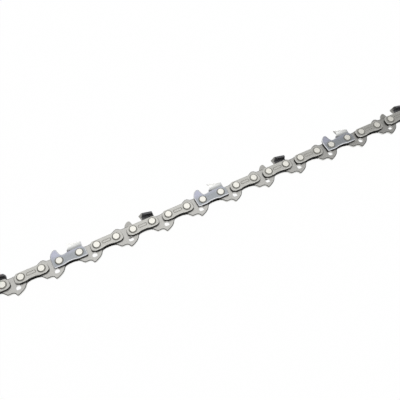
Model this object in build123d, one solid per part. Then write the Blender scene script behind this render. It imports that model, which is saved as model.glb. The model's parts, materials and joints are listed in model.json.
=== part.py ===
"""A straight length of low-profile saw chain, open at both ends.

The chain lies on its side. X runs along it, and the chain runs towards -X when it cuts.
+Y points to the cutters' tops and -Y to the drive tangs. Z is the direction of the rivets,
so the left-hand plates are on top and the right-hand plates are underneath.
Each shape is drawn about its own middle on the rivet line, and the last section lays out the run.
"""
import os
from math import cos, radians, sin, sqrt, tan

from build123d import *

# The run, in millimetres
STRAP_PAIRS = 13            # pairs of side plates from end to end
CUTTER_EVERY = 2            # every second pair carries a cutter, on alternate sides
STRAP_SPACING = 9.92        # rivet to rivet in a side plate
LINK_SPACING = 8.68         # rivet to rivet in a drive link

# Sheet thicknesses and the room between the sheets
GAUGE = 1.27                # drive link, the width of the bar's groove
PLATE = 1.1                 # straps and cutters
SIDE_CLEARANCE = 0.05       # drive link to side plate, on each side

# Rivets
RIVET_RADIUS = 1.5
RIVET_CLEARANCE = 0.05      # radial, between a rivet and the drive link that turns on it
RIVET_PROUD = 0.45          # how far the ends stand out of the left-hand plates

# Side plates, measured from the rivets
PLATE_END = 3.25            # past each rivet
PLATE_TOP = 2.6             # above the rivet line
PLATE_FOOT = 2.8            # below the rivet line
FOOT_HOLLOW = 6.6           # length of the hollow in the foot
HOLLOW_ROOF = 3.2           # length of its straight roof
FOOT_RISE = 0.5             # depth of that hollow
TOP_CORNER = (1.55, 1.65)   # cut off the upper corners, along and across
FOOT_CORNER = (1.75, 1.0)   # cut off the lower corners

# Drive links, measured from the middle between their two holes
LINK_END = 3.2              # reach round each hole
END_EDGES = 3               # straight edges round an end, which the side plates hide
LINK_WAIST = 2.0            # top edge of a plain link, halfway
TANG_DEPTH = 7.4
TANG_BACK = 1.0             # where the tip ends and the back starts
TANG_TIP = 0.8              # length of the blunt tip
BACK_BULGE = (4.6, 5.4)     # where the back turns, along and down
BACK_ANGLE = -26            # where the back runs into the rear end, degrees
FRONT_ANGLE = 221           # where the front edge leaves the front end, degrees
HEEL_DEPTH = 5.5
HEEL = (-3.7, -1.2)         # flat of the heel, from its front to the scoop
SCOOP = (0.9, 0.65)         # where the scoop turns, from the heel's end, along and down
WINDOW = (1.75, -3.75)      # middle of the oil window
WINDOW_SIZE = (2.6, 2.5)    # along its lower edge, and its height
WINDOW_TAPER = 83           # slope of its sides, degrees
BUMPER_HEIGHT = 4.3
BUMPER_RAMP = (-6.2, -3.7)  # the bumper's ramp, from its foot to its crest
BUMPER_CREST = -2.5         # where the crest ends
BUMPER_END = -1.1           # where it has come down to the top edge
BUMPER_FOOT = 2.95          # height where the ramp starts

# Cutters, measured from the front rivet unless said otherwise
CUTTER_HEIGHT = 7.1         # cutting corner above the rivet line
CUTTER_FRONT = 3.3          # front lower corner before the front rivet
CUTTER_HEEL = 3.4           # rear end past the rear rivet
HEEL_STEP = (1.0, 1.0, 2.3)  # rear step: length, and the heights where it starts and ends
GAUGE_FRONT = (-3.6, 3.0)   # depth gauge: start of its curved front
GAUGE_BROW = (-2.45, 5.2)   # a point on that curve
GAUGE_HEIGHT = 6.3
GAUGE_TOP = (-0.75, 0.0)    # flat top from and to
GAUGE_LIP = (0.25, 5.85)    # back corner of the top
GULLET_FRONT = (1.55, 3.15)
GULLET_FLOOR = (3.2, 2.6)
SIDE_START = 5.15           # where the gullet runs up into the side plate
BEND_HEIGHT = 2.9           # the side plate leans outwards above this line
KERF = 5.9                  # over the outer corners of a left and a right cutter
CORNER_DROP = 0.8           # the lean ends this far below the top
TOP_INNER = -0.8            # top plate's inner edge, past the chain's middle plane
TOP_FALL = 12               # top plate's fall to the rear, degrees
TOP_FRONT = 4.4             # front end of the bent part before it is ground
TOP_REAR = 2.45             # rear end of the bent part, past the rear rivet
FILE_RADIUS = 2.0           # the round stone that grinds the cutting edges
FILE_ANGLE = 35             # its angle across the chain, degrees
FILE_PLACE = 4.25           # its axis, where it crosses the plate's outer face
FILE_DROP = 1.7             # its axis below the cutting corner

# Worked out from the sizes above
PLATE_INNER = GAUGE / 2 + SIDE_CLEARANCE
PLATE_OUTER = PLATE_INNER + PLATE
RIVET_HALF = PLATE_OUTER + RIVET_PROUD
PITCH_PAIR = STRAP_SPACING + LINK_SPACING
FRONT = -STRAP_SPACING / 2
REAR = STRAP_SPACING / 2
RIVET_LINE = (TANG_DEPTH - CUTTER_HEIGHT) / 2
MIDDLE_HEIGHT = max(KERF / 2, RIVET_HALF)


def rivet_places(spacing):
    """The two rivet positions of a plate or a link."""
    return [(-spacing / 2, 0), (spacing / 2, 0)]


def on_circle(centre_x, radius, angle):
    """A point on a circle about a rivet."""
    return (centre_x + radius * cos(radians(angle)), radius * sin(radians(angle)))


def foot_line(left, right):
    """The lower edge of a side plate, with the hollow between its rivets."""
    Polyline(
        (left, -PLATE_FOOT),
        (-FOOT_HOLLOW / 2, -PLATE_FOOT),
        (-HOLLOW_ROOF / 2, FOOT_RISE - PLATE_FOOT),
        (HOLLOW_ROOF / 2, FOOT_RISE - PLATE_FOOT),
        (FOOT_HOLLOW / 2, -PLATE_FOOT),
        (right, -PLATE_FOOT),
    )


def strap():
    """A plain side plate for the upper side, before it gets its holes or its rivets."""
    end = REAR + PLATE_END
    foot = end - FOOT_CORNER[0]
    top = end - TOP_CORNER[0]
    low_shoulder = FOOT_CORNER[1] - PLATE_FOOT
    high_shoulder = PLATE_TOP - TOP_CORNER[1]
    with BuildSketch(Plane.XY.offset(PLATE_INNER)) as plate:
        with BuildLine():
            foot_line(-foot, foot)
            Polyline(
                (foot, -PLATE_FOOT),
                (end, low_shoulder),
                (end, high_shoulder),
                (top, PLATE_TOP),
                (-top, PLATE_TOP),
                (-end, high_shoulder),
                (-end, low_shoulder),
                (-foot, -PLATE_FOOT),
            )
        make_face()
    return extrude(plate.sketch, PLATE)


def cutter_plate():
    """The flat of a cutter: its foot, its depth gauge and the floor of its gullet."""
    heel = REAR + CUTTER_HEEL
    step = heel - HEEL_STEP[0]
    corner = FRONT - CUTTER_FRONT
    with BuildSketch(Plane.XY.offset(PLATE_INNER)) as plate:
        with BuildLine():
            foot_line(corner, heel)
            Polyline(
                (heel, -PLATE_FOOT),
                (heel, HEEL_STEP[1]),
                (step, HEEL_STEP[2]),
                (step, BEND_HEIGHT),
                (FRONT + SIDE_START, BEND_HEIGHT),
            )
            ThreePointArc(
                (FRONT + SIDE_START, BEND_HEIGHT),
                (FRONT + GULLET_FLOOR[0], GULLET_FLOOR[1]),
                (FRONT + GULLET_FRONT[0], GULLET_FRONT[1]),
            )
            Polyline(
                (FRONT + GULLET_FRONT[0], GULLET_FRONT[1]),
                (FRONT + GAUGE_LIP[0], GAUGE_LIP[1]),
                (FRONT + GAUGE_TOP[1], GAUGE_HEIGHT),
                (FRONT + GAUGE_TOP[0], GAUGE_HEIGHT),
            )
            ThreePointArc(
                (FRONT + GAUGE_TOP[0], GAUGE_HEIGHT),
                (FRONT + GAUGE_BROW[0], GAUGE_BROW[1]),
                (FRONT + GAUGE_FRONT[0], GAUGE_FRONT[1]),
            )
            Line((FRONT + GAUGE_FRONT[0], GAUGE_FRONT[1]), (corner, -PLATE_FOOT))
        make_face()
    return extrude(plate.sketch, PLATE)


def lean():
    """How far the side plate leans outwards for each millimetre that it rises."""
    return (KERF / 2 - PLATE_OUTER) / (CUTTER_HEIGHT - CORNER_DROP - BEND_HEIGHT)


def outer_face(height):
    """Where the outer face of the leaning side plate is at this height."""
    return PLATE_OUTER + lean() * (height - BEND_HEIGHT)


def ground_width():
    """How far behind its axis the stone leaves the top plate, square to the axis."""
    return sqrt(FILE_RADIUS**2 - FILE_DROP**2)


def cutting_corner():
    """How far along the chain the ground edge of the top plate meets its working corner."""
    outwards = KERF / 2 - CORNER_DROP - PLATE_OUTER
    behind_axis = ground_width() / cos(radians(FILE_ANGLE))
    return FRONT + FILE_PLACE - outwards * tan(radians(FILE_ANGLE)) + behind_axis


def across_chain(points):
    """A face across the chain at the front end of the bent part, from heights and offsets."""
    plane = Plane(origin=(FRONT + TOP_FRONT, 0, 0), x_dir=(0, 1, 0), z_dir=(1, 0, 0))
    with BuildSketch(plane) as section:
        with BuildLine():
            Polyline(*points, close=True)
        make_face()
    return section.sketch


def cutter_fold():
    """The part of a cutter that leans outwards and folds over as the top plate."""
    length = REAR + TOP_REAR - FRONT - TOP_FRONT
    fall = tan(radians(TOP_FALL))
    top = CUTTER_HEIGHT + (cutting_corner() - FRONT - TOP_FRONT) * fall
    corner = top - CORNER_DROP
    under = top - PLATE
    join = corner - length * fall
    side_plate = [
        (BEND_HEIGHT - PLATE, PLATE_OUTER),
        (BEND_HEIGHT, PLATE_OUTER),
        (join, outer_face(join)),
        (join, outer_face(join) - PLATE),
        (BEND_HEIGHT, PLATE_INNER),
        (BEND_HEIGHT - PLATE, PLATE_INNER),
    ]
    top_plate = [
        (join, outer_face(join)),
        (corner, outer_face(corner)),
        (top, outer_face(corner) - CORNER_DROP),
        (top, TOP_INNER),
        (under, TOP_INNER),
        (under, outer_face(under) - PLATE),
        (join, outer_face(join) - PLATE),
    ]
    falling = Vector(1, -fall, -fall * lean())
    roof = extrude(across_chain(top_plate), length * falling.length, dir=falling)
    return extrude(across_chain(side_plate), length) + roof


def grinding_stone():
    """The round stone that hollows the front of the fold, with its way in and the room over it."""
    axis = Plane(
        origin=(FRONT + FILE_PLACE, CUTTER_HEIGHT - FILE_DROP, PLATE_OUTER),
        x_dir=(cos(radians(FILE_ANGLE)), 0, sin(radians(FILE_ANGLE))),
        z_dir=(-sin(radians(FILE_ANGLE)), 0, cos(radians(FILE_ANGLE))),
    )
    length = 4 * KERF
    way = Pos(-FILE_RADIUS, 0, 0) * Box(2 * FILE_RADIUS, 2 * FILE_RADIUS, length)
    brow = Pos(ground_width() - FILE_RADIUS, (FILE_DROP + FILE_RADIUS + PLATE) / 2, 0)
    over = brow * Box(2 * FILE_RADIUS, PLATE, length)
    return axis * (Cylinder(FILE_RADIUS, length) + way + over)


def cutter():
    """A cutter for the upper side, before it gets its holes or its rivets."""
    return cutter_plate() + (cutter_fold() - grinding_stone())


def rivets(bottom):
    """The two rivets of one pair of plates, from this height up to their upper ends."""
    with BuildSketch(Plane.XY.offset(bottom)) as ends:
        with Locations(*rivet_places(STRAP_SPACING)):
            Circle(RIVET_RADIUS)
    return extrude(ends.sketch, RIVET_HALF - bottom)


def left_hand(plate):
    """A left-hand plate: the rivets come up through its two holes."""
    return plate - rivets(-PLATE_INNER)


def right_hand(plate):
    """A right-hand plate with the two rivets set in it."""
    return mirror(plate, about=Plane.XY) + rivets(-PLATE_INNER - PLATE / 2)


def link_end(centre_x, first, last):
    """Points round one end of a drive link, between two angles."""
    step = (last - first) / END_EDGES
    return [on_circle(centre_x, LINK_END, first + step * edge) for edge in range(END_EDGES + 1)]


def oil_window():
    """The opening in a tang that carries oil round the bar."""
    Trapezoid(*WINDOW_SIZE, WINDOW_TAPER, mode=Mode.SUBTRACT)


def drive_link(bumper):
    """A drive link with its tang, and with a bumper where it runs in front of a cutter."""
    front = -LINK_SPACING / 2
    rear = LINK_SPACING / 2
    tang = [
        (HEEL[0], -HEEL_DEPTH),
        (HEEL[1], -HEEL_DEPTH),
        (HEEL[1] + SCOOP[0], -HEEL_DEPTH - SCOOP[1]),
        (TANG_BACK - TANG_TIP, -TANG_DEPTH),
        (TANG_BACK, -TANG_DEPTH),
        (BACK_BULGE[0], -BACK_BULGE[1]),
    ]
    rear_end = link_end(rear, BACK_ANGLE, 90)
    if bumper:
        top = [
            (BUMPER_END, LINK_END),
            (BUMPER_CREST, BUMPER_HEIGHT),
            (BUMPER_RAMP[1], BUMPER_HEIGHT),
            (BUMPER_RAMP[0], BUMPER_FOOT),
        ]
        front_end = link_end(front, 180, FRONT_ANGLE)
    else:
        top = [(0, LINK_WAIST)]
        front_end = link_end(front, 90, FRONT_ANGLE)
    with BuildSketch(Plane.XY.offset(-GAUGE / 2)) as link:
        with BuildLine():
            Polyline(*rear_end, *top, *front_end, *tang, close=True)
        make_face()
        with Locations(*rivet_places(LINK_SPACING)):
            Circle(RIVET_RADIUS + RIVET_CLEARANCE, mode=Mode.SUBTRACT)
        with Locations(WINDOW):
            oil_window()
    return extrude(link.sketch, GAUGE)


def write(shape, name, x):
    """Put a shape at its place along the run and write it to its own file."""
    placed = Pos(x, RIVET_LINE, MIDDLE_HEIGHT) * shape
    placed.label = name
    export_step(placed, f"parts/{name}.step")


def main():
    os.makedirs("parts", exist_ok=True)
    left_strap = left_hand(strap())
    right_strap = right_hand(strap())
    left_cutter = left_hand(cutter())
    right_cutter = right_hand(cutter())
    plain_link = drive_link(bumper=False)
    bumper_link = drive_link(bumper=True)
    first_pair = -PITCH_PAIR * (STRAP_PAIRS - 1) / 2

    for pair in range(STRAP_PAIRS):
        x = first_pair + pair * PITCH_PAIR
        number = f"{pair + 1:02d}"
        cutting = pair % CUTTER_EVERY == 0
        on_left = cutting and (pair // CUTTER_EVERY) % 2 == 1
        on_right = cutting and not on_left
        if on_left:
            write(left_cutter, f"left_cutter_{number}", x)
        else:
            write(left_strap, f"left_strap_{number}", x)
        if on_right:
            write(right_cutter, f"right_cutter_{number}", x)
        else:
            write(right_strap, f"right_strap_{number}", x)

    for place in range(STRAP_PAIRS + 1):
        x = first_pair + (place - 0.5) * PITCH_PAIR
        number = f"{place + 1:02d}"
        if place % CUTTER_EVERY == 0:
            write(bumper_link, f"bumper_link_{number}", x)
        else:
            write(plain_link, f"drive_link_{number}", x)


main()
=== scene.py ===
"""Dresses a straight length of saw chain: its straps, cutters, drive links and headed rivets.

The chain lies on its side, with X along it, +Y towards the cutters' tops and Z along the rivets.
Every shape is drawn in millimetres about its own middle on the rivet line, with the chain's middle
plane at height 0, and is then set down at its place in the frame.
"""
import json
import math

import bmesh
import bpy
from bpy.props import FloatProperty, FloatVectorProperty, PointerProperty
from mathutils import Matrix, Vector


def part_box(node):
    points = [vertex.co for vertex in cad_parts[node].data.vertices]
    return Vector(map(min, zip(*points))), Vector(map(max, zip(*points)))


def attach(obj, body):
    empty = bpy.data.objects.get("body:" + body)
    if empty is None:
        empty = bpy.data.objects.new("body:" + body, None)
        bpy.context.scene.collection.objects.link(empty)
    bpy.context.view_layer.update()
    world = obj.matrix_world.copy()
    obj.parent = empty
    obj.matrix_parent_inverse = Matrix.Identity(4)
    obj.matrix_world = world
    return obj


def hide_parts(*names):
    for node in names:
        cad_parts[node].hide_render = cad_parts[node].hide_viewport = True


bl_info = {
    "name": "Saw chain length",
    "version": (1, 0, 0),
    "blender": (4, 5, 0),
    "location": "3D View > Sidebar > Saw Chain",
    "description": "Models the straps, cutters, drive links and rivets of a length of saw chain",
    "category": "Object",
}

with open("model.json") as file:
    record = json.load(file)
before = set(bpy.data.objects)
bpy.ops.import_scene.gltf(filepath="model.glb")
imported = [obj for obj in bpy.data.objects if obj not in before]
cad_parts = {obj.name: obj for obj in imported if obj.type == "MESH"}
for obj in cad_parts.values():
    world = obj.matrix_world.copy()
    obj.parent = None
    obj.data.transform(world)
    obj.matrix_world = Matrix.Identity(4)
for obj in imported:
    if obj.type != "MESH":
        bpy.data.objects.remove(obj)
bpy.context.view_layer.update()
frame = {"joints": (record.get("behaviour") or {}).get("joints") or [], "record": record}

MM = 0.001
SENSOR = 36.0               # millimetres


def linear(hex_colour):
    """An sRGB hex colour as linear red, green, blue and alpha."""
    parts = [int(hex_colour[i:i + 2], 16) / 255 for i in (1, 3, 5)]
    return tuple(c / 12.92 if c <= 0.04045 else ((c + 0.055) / 1.055) ** 2.4 for c in parts) + (1.0,)


def length(name, description, millimetres):
    """A length property with a default in millimetres."""
    return FloatProperty(name=name, description=description, default=millimetres * MM, unit="LENGTH",
                         precision=5, min=0.0)


def colour(name, description, hex_colour):
    """A colour property with an sRGB hex default."""
    return FloatVectorProperty(name=name, description=description, default=linear(hex_colour)[:3],
                               subtype="COLOR", min=0.0, max=1.0)


class ChainSizes(bpy.types.PropertyGroup):
    """Sizes that shape the dressed pieces and that the frame doesn't hold."""

    edge_round: length("Edge rounding", "Rounding that tumbling leaves on punched edges", 0.2)
    punch_roll: length("Punch roll", "Width over which a strap's outer face rolls down to its edge", 0.42)
    cutter_round: length("Cutter rounding", "Rounding of the cutters' punched edges", 0.06)
    cutter_bevel: length("Cutter bevel", "Width of the bevel along the edges of a cutter's outer face", 0.3)
    groove_length: length("Groove length", "Length of the groove pressed round the middle of a strap", 4.7)
    groove_width: length("Groove width", "Width over the groove of a strap", 1.75)
    groove_depth: length("Groove depth", "Depth of the groove of a strap", 0.22)
    rivet_flat: length("Rivet flat", "Radius of the bright flat on a rivet's head", 1.53)
    rivet_head: length("Rivet head", "Outer radius of a rivet's head", 2.05)
    bend_radius: length("Top bend", "Outer radius of the bend between a cutter's side and top plate", 1.2)
    stone_radius: length("Stone radius", "Radius of the stone that grinds the cutting edges", 2.0)


class ChainFinish(bpy.types.PropertyGroup):
    """Colours of the chain's finishes."""

    strap: colour("Strap", "Tumbled steel of the straps", "#BFBEB9")
    link: colour("Drive link", "Tumbled steel of the drive links", "#B7B6B2")
    # Painted shade: left-hand plates' edges, straps' backs, drive links' upper rims and walls under straps
    edge: colour("Dark edge", "Sheared edges of straps and cutters, and rims of drive links", "#20201E")
    cutter: colour("Cutter", "Plating of the cutters, low down", "#9EA2A6")
    # Paler than the plating low down, as painted light
    gauge: colour("Depth gauge", "Plating of the cutters, higher up", "#B4B6C5")
    pale_bevel: colour("Cutter bevel", "Bevels along the cutters' outer faces", "#CBCCCF")
    # Foot of the painted highlight on a cutter's side plate
    strip: colour("Side plate", "Plating of the cutters where the side plate starts to lean", "#A3A5A5")
    bevel: colour("Ground bevel", "Ground faces behind the cutting edges", "#979692")
    bare: colour("Bare cutter steel", "Inner face of the depth gauge", "#ABAAA6")
    # Painted shade inside the fold, in the crease and on the cutters' backs
    scale: colour("Inside of the fold", "Painted shade inside a cutter's fold", "#666668")
    # Painted light: right-hand plates' edges, and the cutters' side plate and bend
    painted_light: colour("Painted bright", "Painted light on right-hand edges and on the cutters' side plate and bend", "#F4F4F1")
    link_edge: colour("Drive link edge", "Sheared edges of the drive links", "#D4D4D0")
    rivet: colour("Rivet flat", "Bright peened flats of the rivets", "#F0EEE6")
    # Duller than the flat, and darker still as painted shade round the head
    ring: colour("Rivet ring", "Duller flank of a rivet's head, with painted shade", "#8A8983")
    floor: colour("Floor", "Pale surface under the chain", "#FFFFFF")


class ChainView(bpy.types.PropertyGroup):
    """The camera and the lights."""

    azimuth: FloatProperty(name="Azimuth", description="Turn of the camera about the vertical",
                           default=math.radians(26.217), subtype="ANGLE")
    elevation: FloatProperty(name="Elevation", description="Angle that the camera looks down at",
                             default=math.radians(60.0), subtype="ANGLE")
    distance: length("Distance", "From the camera to the point that it looks at", 295.6)
    focal: FloatProperty(name="Focal length", description="Focal length for a 36 mm sensor", default=54.24,
                         unit="CAMERA")
    lamp_power: FloatProperty(name="Lamp power", description="Power of the lamp overhead", default=0.84,
                              unit="POWER")
    middle_power: FloatProperty(name="Middle power", description="Power of the panel between lamp and rear",
                                default=0.46, unit="POWER")
    panel_power: FloatProperty(name="Panel power", description="Power of the panel high behind",
                               default=0.54, unit="POWER")
    backdrop_power: FloatProperty(name="Backdrop power", description="Power of the low panel far behind",
                                  default=2.0, unit="POWER")


# Values read from the frame

RIVETS = {joint["name"]: Vector(joint["pos_m"]) for joint in frame["joints"]}
BODIES = frame["record"]["behaviour"]["bodies"]
PAIRS = sorted(body for body in BODIES if body.startswith("pair"))
LINKS = sorted(body for body in BODIES if body.startswith("link"))
FRONT = RIVETS["rivet_01_front"]
REAR = RIVETS["rivet_01_rear"]
STRAP_HALF = (REAR.x - FRONT.x) / 2 / MM
LINK_HALF = (RIVETS["rivet_02_front"].x - REAR.x) / 2 / MM
MIDDLE_Z = FRONT.z
RIVET_Y = FRONT.y


def span(node, axis):
    """Lowest and highest millimetre of a node along an axis, from its rivet line or middle plane."""
    low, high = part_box(node)
    datum = (0.0, RIVET_Y, MIDDLE_Z)[axis]
    return (low[axis] - datum) / MM, (high[axis] - datum) / MM


PLATE_INNER, PLATE_OUTER = span("left_strap_02", 2)
PLATE = PLATE_OUTER - PLATE_INNER
PLATE_MIDDLE = (PLATE_INNER + PLATE_OUTER) / 2
STRAP_FOOT, STRAP_TOP = span("left_strap_02", 1)
STRAP_END = (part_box("left_strap_02")[1].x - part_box("left_strap_02")[0].x) / 2 / MM
CUTTER_TOP = span("left_cutter_03", 1)[1]
LINK_SIDE = span("drive_link_02", 2)[1]
RIVET_END = span("right_strap_02", 2)[1]
RIVET_RADIUS = 1.5          # of a rivet's pin, which the frame doesn't give
RIVET_HOLES = [(-STRAP_HALF, 0, RIVET_RADIUS), (STRAP_HALF, 0, RIVET_RADIUS)]
BORE_RADIUS = frame["record"]["mounts"][0]["dims"]["r_mm"]


def pair_middle(body):
    """Middle of a pair of plates on its rivet line."""
    number = body[-2:]
    return (RIVETS[f"rivet_{number}_front"] + RIVETS[f"rivet_{number}_rear"]) / 2


def link_middle(body):
    """Middle of a drive link on its rivet line."""
    number = int(body[-2:])
    half = Vector((LINK_HALF * MM, 0, 0))
    if f"rivet_{number:02d}_front" in RIVETS:
        return RIVETS[f"rivet_{number:02d}_front"] - half
    return RIVETS[f"rivet_{number - 1:02d}_rear"] + half


# Shaping helpers, in millimetres

CORNER_STEPS = 6
HOLE_STEPS = 48
RIM_STEPS = 4
RIM_BORDER = 0.05           # level border between a rim and the rest of its face
LEAST_STRAIGHT = 0.01       # left between two roundings of an outline
WELD = 0.0005               # points nearer than this are one
SNAP = 0.0001               # how near to a cut an old point takes its place
SHARP = math.radians(40)
OUTER, WALL, INNER, RIM, GROUND, BARE, BRIGHT = range(7)    # places of materials on a sheet


def moved(corners, x):
    """Corners given as x, y and rounding, moved along the chain."""
    return [(corner_x + x, y, rounding) for corner_x, y, rounding in corners]


def corner_loop(bm, corners):
    """A closed loop of edges through corners given as x, y and rounding."""
    for (x, y, rounding), (next_x, next_y, next_rounding) in zip(corners, corners[1:] + corners[:1]):
        if math.hypot(next_x - x, next_y - y) < rounding + next_rounding + LEAST_STRAIGHT:
            raise ValueError(f"roundings overlap between {x:.2f}, {y:.2f} and {next_x:.2f}, {next_y:.2f}")
    verts = [bm.verts.new((x, y, 0.0)) for x, y, _ in corners]
    bm.faces.new(verts)
    roundings = sorted({rounding for _, _, rounding in corners if rounding})
    for rounding in roundings:
        chosen = [v for v, corner in zip(verts, corners) if corner[2] == rounding]
        bmesh.ops.bevel(bm, geom=chosen, offset=rounding, offset_type="OFFSET", segments=CORNER_STEPS,
                        profile=0.5, affect="VERTICES", material=-1)
    edges = [edge for face in bm.faces for edge in face.edges]
    bmesh.ops.delete(bm, geom=bm.faces[:], context="FACES_ONLY")
    return edges


def round_loop(bm, x, y, radius):
    """A closed loop of edges round a hole."""
    made = bmesh.ops.create_circle(bm, cap_ends=False, radius=radius, segments=HOLE_STEPS,
                                   matrix=Matrix.Translation((x, y, 0.0)))
    return list({edge for vert in made["verts"] for edge in vert.link_edges})


def fill(bm, edges):
    """Fills the space between an outline and the loops inside it."""
    made = bmesh.ops.triangle_fill(bm, edges=edges, use_beauty=True, normal=(0, 0, 1))
    return [item for item in made["geom"] if isinstance(item, bmesh.types.BMFace)]


def quarter(wide, deep):
    """Profile of a rounded rim, as steps inwards and upwards from the edge of a sheet."""
    angles = [math.pi / 2 * step / RIM_STEPS for step in range(1, RIM_STEPS + 1)]
    return [(wide * (1 - math.cos(angle)), deep * math.sin(angle)) for angle in angles]


def shape_rim(bm, cap, profile):
    """Gives the rim of a flat cap a profile, and leaves a narrow level border beside it."""
    last_in, last_up = 0.0, 0.0
    full_in, full_up = profile[-1]
    for inwards, upwards in profile + [(full_in + RIM_BORDER, full_up)]:
        bmesh.ops.inset_region(bm, faces=[cap], thickness=inwards - last_in, depth=upwards - last_up,
                               use_boundary=True, use_even_offset=True)
        last_in, last_up = inwards, upwards


def cut_across(bm, point, direction):
    """Cuts new edges where a plane through a point crosses the whole shape."""
    bmesh.ops.bisect_plane(bm, geom=bm.verts[:] + bm.edges[:] + bm.faces[:], dist=SNAP,
                           plane_co=point, plane_no=direction)


def hole_loop(bm, hole, height):
    """A closed loop at a height: a circle, given as x, y and radius, or a list of corners."""
    edges = corner_loop(bm, hole) if isinstance(hole, list) else round_loop(bm, *hole)
    verts = list({vert for edge in edges for vert in edge.verts})
    bmesh.ops.translate(bm, verts=verts, vec=(0, 0, height))
    return edges


def thick_sheet(bm, corners, holes, bottom, top, profile, mark=None):
    """Makes a sheet with holes between two heights, and gives the upper rim a profile.

    The lower rim is rounded to the same depth. Each hole is a circle or a list of corners, and a mark is
    a list of corners on the upper side, whose face is returned in a list of its own.
    """
    rounding = profile[-1][1]
    outline = corner_loop(bm, corners)
    low_loops = [hole_loop(bm, hole, bottom) for hole in holes]
    high_loops = [hole_loop(bm, hole, top) for hole in holes]
    mark_loop = hole_loop(bm, mark, top) if mark else []
    blank = bmesh.ops.contextual_create(bm, geom=outline)["faces"]
    bmesh.ops.translate(bm, verts=blank[0].verts[:], vec=(0, 0, bottom + rounding))
    made = bmesh.ops.extrude_face_region(bm, geom=blank)
    raised = [item for item in made["geom"] if isinstance(item, bmesh.types.BMVert)]
    bmesh.ops.translate(bm, verts=raised, vec=(0, 0, top - bottom - 2 * rounding))
    bmesh.ops.recalc_face_normals(bm, faces=bm.faces[:])
    upper = max(bm.faces, key=lambda face: face.normal.z)
    lower = min(bm.faces, key=lambda face: face.normal.z)
    walls = [face for face in bm.faces if face not in (upper, lower)]
    shape_rim(bm, upper, profile)
    shape_rim(bm, lower, quarter(rounding, rounding))
    for face in bm.faces:
        face.material_index = RIM if face.calc_center_median().z > (bottom + top) / 2 else INNER
    for face in walls:
        face.material_index = WALL
    for cap, loops, finish in ((upper, high_loops + [mark_loop], OUTER), (lower, low_loops, INNER)):
        edges = cap.edges[:] + [edge for loop in loops for edge in loop]
        bmesh.ops.delete(bm, geom=[cap], context="FACES_ONLY")
        for face in fill(bm, edges):
            face.material_index = finish
    for low, high in zip(low_loops, high_loops):
        for face in bmesh.ops.bridge_loops(bm, edges=low + high)["faces"]:
            face.material_index = WALL
    return bmesh.ops.contextual_create(bm, geom=mark_loop)["faces"] if mark else []


def finish_mesh(bm, name):
    """Makes a mesh in metres, shaded smooth but for its sharp edges."""
    bmesh.ops.remove_doubles(bm, verts=bm.verts[:], dist=WELD)
    bmesh.ops.recalc_face_normals(bm, faces=bm.faces[:])
    bmesh.ops.scale(bm, vec=(MM, MM, MM), verts=bm.verts[:])
    mesh = bpy.data.meshes.new(name)
    bm.to_mesh(mesh)
    bm.free()
    mesh.shade_smooth()
    mesh.set_sharp_from_angle(angle=SHARP)
    return mesh


def mirrored(mesh, name):
    """The same shape on the other side of the chain's middle plane."""
    bm = bmesh.new()
    bm.from_mesh(mesh)
    bmesh.ops.scale(bm, vec=(1, 1, -1), verts=bm.verts[:])
    bmesh.ops.reverse_faces(bm, faces=bm.faces[:])
    other = bpy.data.meshes.new(name)
    bm.to_mesh(other)
    bm.free()
    return other


def set_down(mesh, name, place, materials, body, nodes):
    """Puts a copy of a shape at its place in the frame, on its body, in place of its solids."""
    copy = mesh.copy()
    copy.name = name
    copy.transform(Matrix.Translation(place))
    for index, material in enumerate(materials):
        if index < len(copy.materials):
            copy.materials[index] = material
        else:
            copy.materials.append(material)
    piece = bpy.data.objects.new(name, copy)
    bpy.context.scene.collection.objects.link(piece)
    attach(piece, body)
    if nodes:
        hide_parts(*nodes)


# Materials, with grains in millimetres

MOTTLE_GRAIN = 0.9          # cloudy patches that tumbling leaves
SCUFF_GRAIN = 0.25          # finer in real steel, drawn this coarse so that the scuffs show
SCUFF_DEPTH = 0.02
SCUFF_GLOSS = (-0.06, 0.08)     # how scuffs change the roughness, least and most
PLATING_FADE = (1.0, 3.5)       # the frame's heights between which the plating turns paler, as painted light
HIGHLIGHT_FADE = (3.3, 5.5)        # the same for the painted highlight on the side plate and the bend of a cutter


def add_node(tree, kind, inputs=None, **settings):
    """Adds a node, sets its options, and fills its inputs with values or with other nodes' outputs."""
    node = tree.nodes.new(kind)
    for name, value in settings.items():
        setattr(node, name, value)
    for name, value in (inputs or {}).items():
        socket = node.inputs[name]
        if isinstance(value, bpy.types.NodeSocket):
            tree.links.new(value, socket)
        else:
            socket.default_value = value
    return node


def per_metre(millimetres):
    """The scale of a noise whose features have this size."""
    return 1.0 / (millimetres * MM)


def opaque(rgb):
    """A colour with full alpha."""
    return (*rgb[:3], 1.0)


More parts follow.
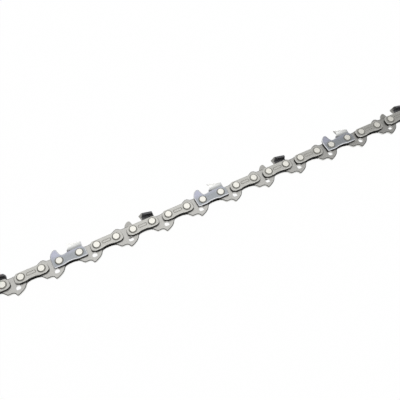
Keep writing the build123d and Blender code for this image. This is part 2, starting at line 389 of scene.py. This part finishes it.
def tumbled_steel(name, rgb, roughness, spread=0.12, upper=None, fade=PLATING_FADE):
    """Punched steel after tumbling: satin, faintly mottled, with fine scuffs that catch the light.

    With an upper colour it turns to that colour between the two heights of its fade, in millimetres.
    """
    material = bpy.data.materials.new(name)
    material.use_nodes = True
    tree = material.node_tree
    tree.nodes.clear()
    place = add_node(tree, "ShaderNodeTexCoord")
    mottle = add_node(tree, "ShaderNodeTexNoise",
                      {"Vector": place.outputs["Object"], "Scale": per_metre(MOTTLE_GRAIN),
                       "Detail": 4.0, "Roughness": 0.6})
    height = add_node(tree, "ShaderNodeSeparateXYZ", {"Vector": place.outputs["Object"]})
    share = add_node(tree, "ShaderNodeMapRange",
                     {"Value": height.outputs["Y"], "From Min": fade[0] * MM, "From Max": fade[1] * MM})
    base = add_node(tree, "ShaderNodeMix",
                    {"Factor": share.outputs["Result"], "A": opaque(rgb), "B": opaque(upper or rgb)},
                    data_type="RGBA")
    depth = add_node(tree, "ShaderNodeMapRange",
                     {"Value": mottle.outputs["Fac"], "To Min": 1 - spread, "To Max": 1 + spread})
    tint = add_node(tree, "ShaderNodeMix",
                    {"Factor": 1.0, "A": base.outputs["Result"], "B": depth.outputs["Result"]},
                    data_type="RGBA", blend_type="MULTIPLY")
    scuffs = add_node(tree, "ShaderNodeTexNoise",
                      {"Vector": place.outputs["Object"], "Scale": per_metre(SCUFF_GRAIN), "Detail": 3.0})
    gloss = add_node(tree, "ShaderNodeMapRange",
                     {"Value": scuffs.outputs["Fac"], "From Min": 0.3, "From Max": 0.7,
                      "To Min": roughness + SCUFF_GLOSS[0], "To Max": roughness + SCUFF_GLOSS[1]})
    relief = add_node(tree, "ShaderNodeBump",
                      {"Height": scuffs.outputs["Fac"], "Strength": 0.15, "Distance": SCUFF_DEPTH * MM})
    surface = add_node(tree, "ShaderNodeBsdfPrincipled",
                       {"Base Color": tint.outputs["Result"], "Metallic": 1.0,
                        "Roughness": gloss.outputs["Result"], "Normal": relief.outputs["Normal"]})
    add_node(tree, "ShaderNodeOutputMaterial", {"Surface": surface.outputs["BSDF"]})
    return material


def matte_painted_shade(name, rgb):
    """Painted shade: a dull dark surface with hardly any shine."""
    material = bpy.data.materials.new(name)
    material.use_nodes = True
    tree = material.node_tree
    tree.nodes.clear()
    surface = add_node(tree, "ShaderNodeBsdfPrincipled",
                       {"Base Color": opaque(rgb), "Roughness": 0.6, "Specular IOR Level": 0.2})
    add_node(tree, "ShaderNodeOutputMaterial", {"Surface": surface.outputs["BSDF"]})
    return material


# Straps, in millimetres

TOP_CORNER = (1.55, 1.65)   # an upper corner is cut back this far along and down
TOP_ROUND = 0.8
FOOT_CORNER = (1.75, 1.0)   # a lower corner is cut back this far along and up
FOOT_ROUND = 0.6
END_ROUND = 0.7
HOLLOW_FOOT = 3.3           # half length of the hollow in the lower edge
HOLLOW_ROOF = 1.6           # half length of its level part
HOLLOW_DEPTH = 0.5
HOLLOW_ROUND = 0.85
GROOVE_ROUND = 0.7
GROOVE_SIDE = 0.18          # width of each sloping side of the groove
GROOVE_FLOOR = 0.08


def hollow_points():
    """The hollow between the rivets in the lower edge of a plate, from left to right."""
    half = [(HOLLOW_ROOF, STRAP_FOOT + HOLLOW_DEPTH, HOLLOW_ROUND), (HOLLOW_FOOT, STRAP_FOOT, HOLLOW_ROUND)]
    return [(-x, y, rounding) for x, y, rounding in reversed(half)] + half


def strap_outline():
    """Corners of a strap, anticlockwise from its lower left."""
    foot = STRAP_END - FOOT_CORNER[0]
    top = STRAP_END - TOP_CORNER[0]
    low = STRAP_FOOT + FOOT_CORNER[1]
    high = STRAP_TOP - TOP_CORNER[1]
    return [
        (-foot, STRAP_FOOT, FOOT_ROUND), *hollow_points(), (foot, STRAP_FOOT, FOOT_ROUND),
        (STRAP_END, low, END_ROUND), (STRAP_END, high, TOP_ROUND), (top, STRAP_TOP, TOP_ROUND),
        (-top, STRAP_TOP, TOP_ROUND), (-STRAP_END, high, TOP_ROUND), (-STRAP_END, low, END_ROUND),
    ]


def strap_mesh(sizes):
    """A left-hand strap with its rivet holes and the groove pressed into its outer face."""
    half = sizes.groove_length / MM / 2
    wide = sizes.groove_width / MM / 2
    deep = sizes.groove_depth / MM
    groove = [
        (-half, -wide, GROOVE_ROUND), (half, -wide, GROOVE_ROUND),
        (half, wide, GROOVE_ROUND), (-half, wide, GROOVE_ROUND),
    ]
    rim = quarter(sizes.punch_roll / MM, sizes.edge_round / MM)
    bm = bmesh.new()
    bar = thick_sheet(bm, strap_outline(), RIVET_HOLES, PLATE_INNER, PLATE_OUTER, rim, groove)
    for inwards, upwards in ((GROOVE_SIDE, -deep), (GROOVE_FLOOR, 0.0), (GROOVE_SIDE, deep)):
        bmesh.ops.inset_region(bm, faces=bar, thickness=inwards, depth=upwards, use_even_offset=True)
    return finish_mesh(bm, "strap")


# Cutters, in millimetres from the front rivet where nothing else is said

TOE = (-3.3, STRAP_FOOT, 0.5)
HEEL = [(3.4, STRAP_FOOT, 0.5), (3.4, 1.0, 0.4), (2.44, 2.3, 0.4)]      # upwards, from the rear rivet
GULLET = [(5.0, 2.9, 0.5), (3.4, 2.35, 0.75), (1.6, 2.4, 0.75)]         # from back to front
GAUGE = [
    (1.0, 3.8, 0.6), (0.35, 6.3, 0.65), (-0.8, 6.3, 0.4), (-2.45, 5.3, 1.2), (-3.6, 3.0, 1.2),
]                           # depth gauge, from back to front
GULLET_X = GULLET[1][0] - STRAP_HALF    # from the pair's middle: what is bent lies behind this
BEVEL_SLOPE = math.radians(20)          # of the bevel along the edges of the outer face
CREASE = [(5.4, 2.52, 0.0), (6.9, 2.82, 0.0), (5.4, 3.05, 0.0)]         # at the side plate's foot
CREASE_SIDE = 0.05          # width of its steep sides
CREASE_DEPTH = 0.15
CREASE_REACH = 1.1          # the rim nearer to its middle than this takes the painted shade too
LEAN_LINE = 2.45            # the side plate leans outwards above this line
LEAN_WIDTH = 2.7            # strip over which it starts to lean
LEAN = math.radians(20)
TOP_FALL = math.radians(12)     # the top plate falls this much to the rear
TOP_START = 4.4             # front end of the bent part before it is ground
FLAP_START = 6.2            # the same at the top plate's inner edge
FLAP_END = 0.4              # how far that edge runs on behind the bend
TOP_INNER = -1.3            # the top plate's inner edge, past the chain's middle plane
CORNER_X = 5.0 - STRAP_HALF     # from the pair's middle: here the top plate has its full height
FOLD_STEPS = 8
PAST_CUT = 0.001            # points further than this past a cut are turned
STONE = (4.05, 5.4)         # where the stone's axis crosses the plate's outer face
STONE_TURN = math.radians(24)   # outwards, its axis leans this much forwards of the rivets' direction
STONE_LENGTH = 30
STONE_STEPS = 96
LEAST_FACES = 100           # a cutter with fewer has been ground away


def fold(bm, point, along, angle, width):
    """Bends what lies past a line and behind the gullet, in small steps over a strip of this width."""
    across = Vector((-along.y, along.x, 0.0)).normalized()
    gap = width / FOLD_STEPS
    starts = [point + across * gap * (step + 0.5) for step in reversed(range(FOLD_STEPS))]
    turn = Matrix.Rotation(angle / FOLD_STEPS, 3, along)
    for start in starts:
        cut_across(bm, start, across)
    for start in starts:
        beyond = [v for v in bm.verts if v.co.x > GULLET_X and (v.co - start).dot(across) > PAST_CUT]
        bmesh.ops.rotate(bm, cent=start, matrix=turn, verts=beyond)


def plan_fold(sizes):
    """Works out the fold between the side and top plates, so that the folded plates reach their places.

    Returns its angle, the width of the strip that it takes, the slope of its line, a function for the
    height of that line on the flat blank, and the width of the flap above the line.
    """
    bend = sizes.bend_radius / MM
    neutral = bend - PLATE / 2      # radius of the bend in the middle of the sheet
    angle = math.pi / 2 + LEAN
    strip = neutral * angle
    # Height of the bend's start on the folded cutter, and of the flat part below it
    start_height = CUTTER_TOP - bend - neutral * math.sin(LEAN)
    straight = start_height - LEAN_LINE - LEAN_WIDTH * math.sin(LEAN) / LEAN
    # Way from the lean line to the bend's start, measured on the flat blank
    rise = LEAN_WIDTH + straight / math.cos(LEAN)
    slope = math.tan(TOP_FALL) / math.cos(LEAN)
    # How far outwards the bend starts, and the width of the top plate's flat part
    lean_out = LEAN_WIDTH * (1 - math.cos(LEAN)) / LEAN + straight * math.tan(LEAN)
    level = PLATE_MIDDLE + lean_out - neutral * math.cos(LEAN) - TOP_INNER
    flap = (strip + level) * math.sqrt(1 + slope * slope)

    def bend_line(x):
        return LEAN_LINE + rise - (x - CORNER_X) * slope

    return angle, strip, slope, bend_line, flap


def cutter_outline(bend_line, flap):
    """Corners of a cutter's flat blank, anticlockwise from its toe."""
    top_front = TOP_START - STRAP_HALF
    flap_front = FLAP_START - STRAP_HALF
    top_rear = HEEL[-1][0] + STRAP_HALF
    flap_rear = top_rear + FLAP_END
    return [
        *moved([TOE], -STRAP_HALF), *hollow_points(), *moved(HEEL, STRAP_HALF),
        (top_rear, bend_line(top_rear), 0.0), (flap_rear, bend_line(flap_rear) + flap, 0.0),
        (flap_front, bend_line(flap_front) + flap, 0.0), (top_front, bend_line(top_front), 0.0),
        *moved(GULLET, -STRAP_HALF), *moved(GAUGE, -STRAP_HALF),
    ]


def press_crease(bm, crease):
    """Sinks the crease at the side plate's foot, and darkens it and the rim beside it with painted shade.
    """
    place = crease[0].calc_center_median()
    sides = bmesh.ops.inset_region(bm, faces=crease, thickness=CREASE_SIDE, depth=-CREASE_DEPTH)["faces"]
    rim = [face for face in bm.faces if face.material_index == RIM]
    beside = [face for face in rim if (face.calc_center_median() - place).xy.length < CREASE_REACH]
    for face in crease + sides + beside:
        face.material_index = INNER


def sort_finishes(bm):
    """Leaves the depth gauge bare inside, and gives the fold a painted highlight outside and painted shade
    on its edges.
    """
    for face in bm.faces:
        centre = face.calc_center_median()
        if centre.y < LEAN_LINE:
            continue
        if centre.x < GULLET_X:
            if face.material_index == INNER:
                face.material_index = BARE
        elif face.material_index == WALL:
            face.material_index = INNER
        elif face.material_index == OUTER:
            face.material_index = BRIGHT


def cutter_mesh(sizes):
    """A left-hand cutter: punched flat, folded, then ground by a round stone."""
    angle, strip, slope, bend_line, flap = plan_fold(sizes)
    corner = sizes.cutter_round / MM
    bevel = sizes.cutter_bevel / MM
    rim = quarter(corner, corner) + [(corner + bevel, corner + bevel * math.tan(BEVEL_SLOPE))]
    outline = cutter_outline(bend_line, flap)
    mark = moved(CREASE, -STRAP_HALF)
    bm = bmesh.new()
    crease = thick_sheet(bm, outline, RIVET_HOLES, PLATE_INNER, PLATE_OUTER, rim, mark)
    press_crease(bm, crease)
    bend_start = Vector((CORNER_X, bend_line(CORNER_X), PLATE_MIDDLE))
    fold(bm, bend_start, Vector((1.0, -slope, 0.0)).normalized(), -angle, strip)
    lean_start = Vector((0.0, LEAN_LINE, PLATE_MIDDLE))
    fold(bm, lean_start, Vector((1.0, 0.0, 0.0)), LEAN, LEAN_WIDTH)
    sort_finishes(bm)
    return grind(finish_mesh(bm, "cutter_blank"), sizes)


def grind(blank, sizes):
    """Takes the round hollow of the grinding stone out of a folded cutter."""
    bm = bmesh.new()
    tilt = Matrix.Rotation(-STONE_TURN, 4, "Y")
    place = Matrix.Translation((STONE[0] - STRAP_HALF, STONE[1], PLATE_OUTER))
    radius = sizes.stone_radius / MM
    bmesh.ops.create_cone(bm, cap_ends=True, segments=STONE_STEPS, radius1=radius, radius2=radius,
                          depth=STONE_LENGTH, matrix=place @ tilt)
    for face in bm.faces:
        face.material_index = GROUND
    stone_mesh = finish_mesh(bm, "stone")
    stone = bpy.data.objects.new("stone", stone_mesh)
    cutter = bpy.data.objects.new("cutter_blank", blank)
    for item in (stone, cutter):
        bpy.context.scene.collection.objects.link(item)
    for raw in (stone_mesh, blank):
        while len(raw.materials) <= BRIGHT:
            raw.materials.append(None)
    cut = cutter.modifiers.new("grind", "BOOLEAN")
    cut.operation = "DIFFERENCE"
    cut.solver = "EXACT"
    cut.object = stone
    bpy.context.view_layer.update()
    seen = cutter.evaluated_get(bpy.context.evaluated_depsgraph_get())
    mesh = bpy.data.meshes.new_from_object(seen)
    mesh.name = "cutter"
    mesh.set_sharp_from_angle(angle=SHARP)
    for item in (stone, cutter):
        bpy.data.objects.remove(item)
    for spent in (stone_mesh, blank):
        bpy.data.meshes.remove(spent)
    if len(mesh.polygons) < LEAST_FACES:
        raise RuntimeError("grinding left no cutter")
    return mesh


# Drive links, in millimetres from a link's middle where nothing else is said

LINK_END = 3.1              # reach of a rounded end past its rivet
TANG = [
    (-3.7, -5.5, 0.4), (-1.2, -5.5, 0.5), (-0.3, -6.15, 0.4), (0.2, -7.39, 0.35), (1.0, -7.39, 0.35),
    (3.1, -6.45, 0.9), (4.8, -5.25, 0.9),
]                           # lower edge, from front to back
REAR_END = [
    (2.85, -1.4, 0.8), (LINK_END, 0.4, 0.8), (LINK_END - 0.9, LINK_END - 0.9, 1.1), (0.0, LINK_END, 0.8),
]                           # upwards, from the rear rivet
WAIST = [(1.2, 2.2, 1.1), (-1.2, 2.2, 1.1)]
FRONT_END = [(-0.2, LINK_END, 0.8), (-LINK_END, LINK_END - 0.8, 2.0)]   # from the front rivet
BUMPER = [(-1.1, 3.1, 0.6), (-2.4, 4.3, 0.58), (-3.6, 4.3, 0.58), (-6.2, 2.95, 0.8)]
BUMPER_END = [(-LINK_END, 0.9, 0.8)]                                    # from the front rivet
FRONT_FOOT = [(-LINK_END, -0.8, 0.6), (-2.4, -2.05, 0.6)]               # downwards, from the front rivet
WINDOW = [(0.45, -5.0, 0.9), (3.05, -5.0, 0.9), (2.8, -2.5, 0.9), (0.7, -2.5, 0.9)]
WINDOW_MARGIN = 0.2         # faces this near to the window are plain steel
SHADED = 0.6                # walls of a link up to this far below the straps get painted shadow


def in_window(point):
    """Whether a point on a drive link lies in its oil window or close beside it."""
    along = [x for x, _, _ in WINDOW]
    up = [y for _, y, _ in WINDOW]
    return (min(along) - WINDOW_MARGIN < point.x < max(along) + WINDOW_MARGIN
            and min(up) - WINDOW_MARGIN < point.y < max(up) + WINDOW_MARGIN)


def link_mesh(sizes, bumper):
    """A drive link with its tang and oil window, and with a bumper where it runs before a cutter."""
    if bumper:
        top = BUMPER + moved(BUMPER_END, -LINK_HALF)
    else:
        top = WAIST + moved(FRONT_END, -LINK_HALF)
    outline = [*TANG, *moved(REAR_END, LINK_HALF), *top, *moved(FRONT_FOOT, -LINK_HALF)]
    holes = [(-LINK_HALF, 0, BORE_RADIUS), (LINK_HALF, 0, BORE_RADIUS), WINDOW]
    rim = quarter(sizes.edge_round / MM, sizes.edge_round / MM)
    shade_line = STRAP_FOOT - SHADED
    bm = bmesh.new()
    thick_sheet(bm, outline, holes, -LINK_SIDE, LINK_SIDE, rim)
    cut_across(bm, (0, shade_line, 0), (0, 1, 0))
    for face in bm.faces:
        centre = face.calc_center_median()
        if in_window(centre):
            face.material_index = INNER
        # The upper rim and the walls just below the straps take the dark rim finish: painted shade
        elif face.material_index == WALL and centre.y > shade_line:
            face.material_index = RIM
    return finish_mesh(bm, "link")


# Rivets, in millimetres, with heads drawn as steps outwards and upwards

FLAT, RING = range(2)       # places of materials on a rivet
SKIRT = 0.22                # height of a head's skirt over the plate
# From the radius and height of the flat
FLAT_EDGE = [(-0.12, 0.0), (-0.03, 0.0), (0.0, -0.02), (0.05, -0.08)]
# Where the flank ends, from the flat's radius and the skirt's height
FLANK_FOOT = (0.12, 0.02)
# From the head's radius and the skirt's height
SKIRT_EDGE = [(-0.2, -0.02), (-0.06, -0.06), (0.0, -0.14)]


def rivet_mesh(sizes):
    """One rivet: a pin with a head formed at each end, flat in the middle and sloping at its rim."""
    flat = sizes.rivet_flat / MM
    head = sizes.rivet_head / MM
    skirt = PLATE_OUTER + SKIRT
    upper = [
        (0.0, RIVET_END), *[(flat + r, RIVET_END + z) for r, z in FLAT_EDGE],
        (flat + FLANK_FOOT[0], skirt + FLANK_FOOT[1]), *[(head + r, skirt + z) for r, z in SKIRT_EDGE],
        (head, PLATE_OUTER), (RIVET_RADIUS, PLATE_OUTER),
    ]
    profile = upper + [(r, -z) for r, z in reversed(upper)]
    bm = bmesh.new()
    verts = [bm.verts.new((r, 0.0, z)) for r, z in profile]
    edges = [bm.edges.new(pair) for pair in zip(verts, verts[1:])]
    bmesh.ops.spin(bm, geom=verts + edges, cent=(0, 0, 0), axis=(0, 0, 1), angle=2 * math.pi,
                   steps=HOLE_STEPS, use_merge=True)
    for face in bm.faces:
        face.material_index = RING if face.calc_center_median().xy.length > flat else FLAT
    return finish_mesh(bm, "rivet")


# Stage, in metres

FLOOR_SIZE = 4.0
FLOOR_GLOW = 0.985          # how much of the floor's look is its own white, the rest takes shadow
ROOM_LIGHT = 0.42
LOOK_AT = Vector((-6.42, 0.22, 5.185)) * MM


def make_floor(finish):
    """A plain pale floor that stays white to the eye and still takes the chain's shadow."""
    bm = bmesh.new()
    bmesh.ops.create_grid(bm, x_segments=1, y_segments=1, size=FLOOR_SIZE / 2)
    mesh = bpy.data.meshes.new("floor")
    bm.to_mesh(mesh)
    bm.free()
    floor = bpy.data.objects.new("floor", mesh)
    bpy.context.scene.collection.objects.link(floor)
    material = bpy.data.materials.new("white_paper_floor")
    material.use_nodes = True
    tree = material.node_tree
    tree.nodes.clear()
    paper = add_node(tree, "ShaderNodeBsdfDiffuse", {"Color": opaque(finish.floor)})
    glow = add_node(tree, "ShaderNodeEmission", {"Color": opaque(finish.floor), "Strength": 1.0})
    ray = add_node(tree, "ShaderNodeLightPath")
    mirrored_too = add_node(tree, "ShaderNodeMath",
                            {0: ray.outputs["Is Camera Ray"], 1: ray.outputs["Is Glossy Ray"]},
                            operation="MAXIMUM")
    seen = add_node(tree, "ShaderNodeMath",
                    {0: mirrored_too.outputs["Value"], 1: ray.outputs["Is Transmission Ray"]},
                    operation="MAXIMUM")
    share = add_node(tree, "ShaderNodeMath", {0: seen.outputs["Value"], 1: FLOOR_GLOW},
                     operation="MULTIPLY")
    both = add_node(tree, "ShaderNodeMixShader",
                    {0: share.outputs["Value"], 1: paper.outputs["BSDF"], 2: glow.outputs["Emission"]})
    add_node(tree, "ShaderNodeOutputMaterial", {"Surface": both.outputs["Shader"]})
    mesh.materials.append(material)


def add_lamp(name, place, size, power):
    """A soft oblong lamp that runs along the chain and faces it."""
    lamp = bpy.data.lights.new(name, "AREA")
    lamp.shape = "RECTANGLE"
    lamp.size, lamp.size_y = size
    lamp.energy = power
    holder = bpy.data.objects.new(name, lamp)
    holder.location = place
    holder.rotation_mode = "QUATERNION"
    holder.rotation_quaternion = Vector((0, -place[1], -place[2])).to_track_quat("-Z", "Y")
    bpy.context.scene.collection.objects.link(holder)


def make_lights(view):
    """A lamp overhead, two panels high behind it, a low panel far behind, and an even grey room."""
    add_lamp("overhead_lamp", (0.137, -0.14, 0.6), (0.7, 0.14), view.lamp_power)
    add_lamp("middle_panel", (0.1, 0.06, 0.62), (0.8, 0.27), view.middle_power)
    add_lamp("rear_panel", (0.03, 0.36, 0.6), (0.62, 0.32), view.panel_power)
    add_lamp("backdrop_panel", (0.1, 0.75, 0.2), (1.4, 0.4), view.backdrop_power)
    world = bpy.data.worlds.new("studio")
    world.use_nodes = True
    tree = world.node_tree
    tree.nodes.clear()
    room = add_node(tree, "ShaderNodeBackground", {"Color": linear("#FFFFFF"), "Strength": ROOM_LIGHT})
    add_node(tree, "ShaderNodeOutputWorld", {"Surface": room.outputs["Background"]})
    bpy.context.scene.world = world


def make_camera(view):
    """A level camera that looks down along the chain."""
    ahead = Vector((math.sin(view.azimuth), math.cos(view.azimuth), 0.0))
    sight = ahead * math.cos(view.elevation) - Vector((0, 0, 1)) * math.sin(view.elevation)
    camera = bpy.data.cameras.new("camera")
    camera.sensor_width = SENSOR
    camera.lens = view.focal
    camera.clip_start = 0.01
    holder = bpy.data.objects.new("camera", camera)
    holder.location = LOOK_AT - sight * view.distance
    holder.rotation_mode = "QUATERNION"
    holder.rotation_quaternion = sight.to_track_quat("-Z", "Y")
    bpy.context.scene.collection.objects.link(holder)
    bpy.context.scene.camera = holder


# Operators


def plates(kind):
    """Each pair's body with its node of one kind, strap or cutter."""
    return [(body, node) for body in PAIRS for node in BODIES[body] if kind in node]


class CHAIN_OT_straps(bpy.types.Operator):
    """Model every strap of the chain"""

    bl_idname = "chain.straps"
    bl_label = "Straps"

    def execute(self, context):
        finish = context.scene.chain_finish
        left = strap_mesh(context.scene.chain_sizes)
        right = mirrored(left, "right_strap")
        # Satin grey with a faint mottle, brighter where it turns to the lamp
        steel = tumbled_steel("tumbled_strap_steel", finish.strap, roughness=0.34)
        # Painted shade: a nearly black line round each upper strap, and a dark back on every strap
        edge = matte_painted_shade("painted_shade_strap_edge", finish.edge)
        # Painted light: a bright line round each strap on the underside
        light_painted_edge = tumbled_steel("painted_light_strap_edge", finish.painted_light, roughness=0.3)
        for body, node in plates("strap"):
            on_left = node.startswith("left")
            shape = left if on_left else right
            finishes = [steel, edge if on_left else light_painted_edge, edge, steel]
            set_down(shape, f"{node}_dressed", pair_middle(body), finishes, body, [node])
        return {"FINISHED"}


class CHAIN_OT_cutters(bpy.types.Operator):
    """Model every cutter of the chain"""

    bl_idname = "chain.cutters"
    bl_label = "Cutters"

    def execute(self, context):
        finish = context.scene.chain_finish
        left = cutter_mesh(context.scene.chain_sizes)
        right = mirrored(left, "right_cutter")
        # Cool satin grey, bluer on the depth gauge and paler there as painted light
        plating = tumbled_steel("satin_chrome_plating", finish.cutter, roughness=0.34, upper=finish.gauge)
        # Painted shade: a nearly black line round each left-hand cutter
        edge = matte_painted_shade("painted_shade_cutter_edge", finish.edge)
        # Painted light: a bright line round each right-hand cutter
        light_painted_edge = tumbled_steel("painted_light_cutter_edge", finish.painted_light, roughness=0.3)
        # Painted shade: dull dark grey on the backs, fold edges and crease, so the fold looks deep
        inner = matte_painted_shade("painted_shade_in_fold", finish.scale)
        # A pale line along the bevels
        pale_bevel = tumbled_steel("pale_chrome_bevel", finish.pale_bevel, roughness=0.34)
        # A glossier mid grey behind the cutting edges
        ground = tumbled_steel("ground_cutting_edge", finish.bevel, roughness=0.25)
        # Warmer grey on the inner face of the depth gauge
        bare = tumbled_steel("unplated_cutter_steel", finish.bare, roughness=0.34)
        # Painted highlight: grey at the side plate's foot, turning nearly white from the bend on
        bright = tumbled_steel("chrome_with_painted_highlight", finish.strip, roughness=0.42,
                               upper=finish.painted_light, fade=HIGHLIGHT_FADE)
        for body, node in plates("cutter"):
            on_left = node.startswith("left")
            shape = left if on_left else right
            finishes = [plating, edge if on_left else light_painted_edge, inner, pale_bevel, ground, bare, bright]
            set_down(shape, f"{node}_dressed", pair_middle(body), finishes, body, [node])
        return {"FINISHED"}


class CHAIN_OT_drive_links(bpy.types.Operator):
    """Model every drive link of the chain"""

    bl_idname = "chain.drive_links"
    bl_label = "Drive links"

    def execute(self, context):
        finish = context.scene.chain_finish
        sizes = context.scene.chain_sizes
        # Satin grey, a little darker than the straps
        steel = tumbled_steel("tumbled_link_steel", finish.link, roughness=0.3)
        # Painted shade: a dark line along the upper rim, and a painted shadow just below the straps
        rim = tumbled_steel("painted_shade_link_rim", finish.edge, roughness=0.4)
        # Pale edges round the tangs
        sheared = tumbled_steel("sheared_link_edge", finish.link_edge, roughness=0.3)
        plain = link_mesh(sizes, bumper=False)
        bumper = link_mesh(sizes, bumper=True)
        for body in LINKS:
            node = BODIES[body][0]
            shape = bumper if node.startswith("bumper") else plain
            finishes = [steel, sheared, steel, rim]
            set_down(shape, f"{node}_dressed", link_middle(body), finishes, body, [node])
        return {"FINISHED"}


class CHAIN_OT_rivets(bpy.types.Operator):
    """Model every rivet of the chain"""

    bl_idname = "chain.rivets"
    bl_label = "Rivets"

    def execute(self, context):
        finish = context.scene.chain_finish
        shape = rivet_mesh(context.scene.chain_sizes)
        # Nearly white and even, the brightest spots of the chain
        flat = tumbled_steel("peened_rivet_flat", finish.rivet, roughness=0.4, spread=0.04)
        # A duller grey ring round each flat, darkened further as painted shade
        ring = tumbled_steel("dull_rivet_flank_painted_shade", finish.ring, roughness=0.5)
        for name, place in RIVETS.items():
            set_down(shape, f"{name}_dressed", place, [flat, ring], f"pair_{name[6:8]}", [])
        return {"FINISHED"}


class CHAIN_OT_stage(bpy.types.Operator):
    """Set up the floor, the lights and the camera"""

    bl_idname = "chain.stage"
    bl_label = "Stage"

    def execute(self, context):
        make_floor(context.scene.chain_finish)
        make_lights(context.scene.chain_view)
        make_camera(context.scene.chain_view)
        context.scene.view_settings.view_transform = "Standard"
        return {"FINISHED"}


# Panel and registration


class CHAIN_PT_pieces(bpy.types.Panel):
    """Shows the chain's pieces, sizes, finishes and view in the sidebar"""

    bl_idname = "CHAIN_PT_pieces"
    bl_label = "Saw Chain"
    bl_space_type = "VIEW_3D"
    bl_region_type = "UI"
    bl_category = "Saw Chain"

    def draw(self, context):
        layout = self.layout
        for operator in OPERATORS:
            layout.operator(operator.bl_idname)
        for group in (context.scene.chain_sizes, context.scene.chain_finish, context.scene.chain_view):
            for name in group.__annotations__:
                layout.prop(group, name)


GROUPS = (ChainSizes, ChainFinish, ChainView)
OPERATORS = (CHAIN_OT_straps, CHAIN_OT_cutters, CHAIN_OT_drive_links, CHAIN_OT_rivets, CHAIN_OT_stage)
CLASSES = (*GROUPS, *OPERATORS, CHAIN_PT_pieces)


def register():
    for cls in CLASSES:
        bpy.utils.register_class(cls)
    bpy.types.Scene.chain_sizes = PointerProperty(type=ChainSizes)
    bpy.types.Scene.chain_finish = PointerProperty(type=ChainFinish)
    bpy.types.Scene.chain_view = PointerProperty(type=ChainView)


def unregister():
    del bpy.types.Scene.chain_view
    del bpy.types.Scene.chain_finish
    del bpy.types.Scene.chain_sizes
    for cls in reversed(CLASSES):
        bpy.utils.unregister_class(cls)


def main():
    register()
    bpy.ops.chain.straps()
    bpy.ops.chain.cutters()
    bpy.ops.chain.drive_links()
    bpy.ops.chain.rivets()
    bpy.ops.chain.stage()


if __name__ == "__main__":
    main()
